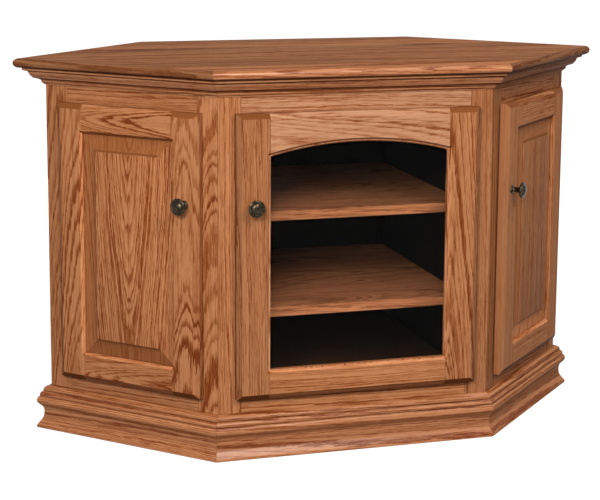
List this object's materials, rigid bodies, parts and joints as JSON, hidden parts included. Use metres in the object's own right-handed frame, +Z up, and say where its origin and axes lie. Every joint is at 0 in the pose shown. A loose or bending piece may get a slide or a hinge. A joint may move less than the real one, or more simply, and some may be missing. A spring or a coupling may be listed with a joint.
{
  "type": "corner tv cabinet",
  "caption": "Oak corner television cabinet: arched glass door between two angled raised-panel doors, shelves inside, moulded crown and base.",
  "frame": {"origin": "on the floor, at the middle of the cabinet's box", "axes": "the wide front faces -Y, +X is to the right of someone facing the cabinet, +Z up"},
  "size_m": [1.2558, 0.6476, 0.762],
  "materials": {
    "stained_oak": "red oak, medium brown stain under satin lacquer",
    "inner_oak": "oak shelves and floor in the same stain, low sheen",
    "dark_interior": "dark stained inner walls, matt",
    "clear_glass": "clear float glass",
    "dark_pewter": "dark pewter with rubbed edges",
    "hinge_steel": "nickel plated"
  },
  "bodies": {
    "case": {"top_board": "stained_oak", "crown_moulding_front": "stained_oak", "crown_moulding_left": "stained_oak", "crown_moulding_right": "stained_oak", "base_moulding_front": "stained_oak", "base_moulding_left": "stained_oak", "base_moulding_right": "stained_oak", "front_frame_left_stile": "stained_oak", "front_frame_right_stile": "stained_oak", "front_frame_top_rail": "stained_oak", "front_frame_bottom_rail": "stained_oak", "left_frame_inner_stile": "stained_oak", "left_frame_outer_stile": "stained_oak", "left_frame_top_rail": "stained_oak", "left_frame_bottom_rail": "stained_oak", "right_frame_inner_stile": "stained_oak", "right_frame_outer_stile": "stained_oak", "right_frame_top_rail": "stained_oak", "right_frame_bottom_rail": "stained_oak", "floor_board": "inner_oak", "upper_shelf": "inner_oak", "lower_shelf": "inner_oak", "left_side_shelf": "inner_oak", "right_side_shelf": "inner_oak", "back_panel": "dark_interior", "left_wall_panel": "dark_interior", "right_wall_panel": "dark_interior", "left_partition": "dark_interior", "right_partition": "dark_interior", "left_door_upper_hinge_arm": "hinge_steel", "left_door_lower_hinge_arm": "hinge_steel", "centre_door_upper_hinge_arm": "hinge_steel", "centre_door_lower_hinge_arm": "hinge_steel", "right_door_upper_hinge_arm": "hinge_steel", "right_door_lower_hinge_arm": "hinge_steel"},
    "left_door": {"left_door_hinge_stile": "stained_oak", "left_door_knob_stile": "stained_oak", "left_door_top_rail": "stained_oak", "left_door_bottom_rail": "stained_oak", "left_door_raised_panel": "stained_oak", "left_door_knob": "dark_pewter", "left_door_upper_hinge_cup": "hinge_steel", "left_door_lower_hinge_cup": "hinge_steel"},
    "centre_door": {"centre_door_hinge_stile": "stained_oak", "centre_door_knob_stile": "stained_oak", "centre_door_top_rail": "stained_oak", "centre_door_bottom_rail": "stained_oak", "centre_door_glass": "clear_glass", "centre_door_knob": "dark_pewter", "centre_door_upper_hinge_cup": "hinge_steel", "centre_door_lower_hinge_cup": "hinge_steel"},
    "right_door": {"right_door_hinge_stile": "stained_oak", "right_door_knob_stile": "stained_oak", "right_door_top_rail": "stained_oak", "right_door_bottom_rail": "stained_oak", "right_door_raised_panel": "stained_oak", "right_door_knob": "dark_pewter", "right_door_upper_hinge_cup": "hinge_steel", "right_door_lower_hinge_cup": "hinge_steel"}
  },
  "joints": [
    {"name": "left_door_hinge", "type": "hinge", "parent": "case", "child": "left_door", "pos_m": [-0.53873, -0.03188, 0.3975], "axis": [0, 0, -1], "range_deg": [0, 105]},
    {"name": "centre_door_hinge", "type": "hinge", "parent": "case", "child": "centre_door", "pos_m": [0.239, -0.28526, 0.3975], "axis": [0, 0, 1], "range_deg": [0, 105]},
    {"name": "right_door_hinge", "type": "hinge", "parent": "case", "child": "right_door", "pos_m": [0.53873, -0.03188, 0.3975], "axis": [0, 0, 1], "range_deg": [0, 105]}
  ]
}
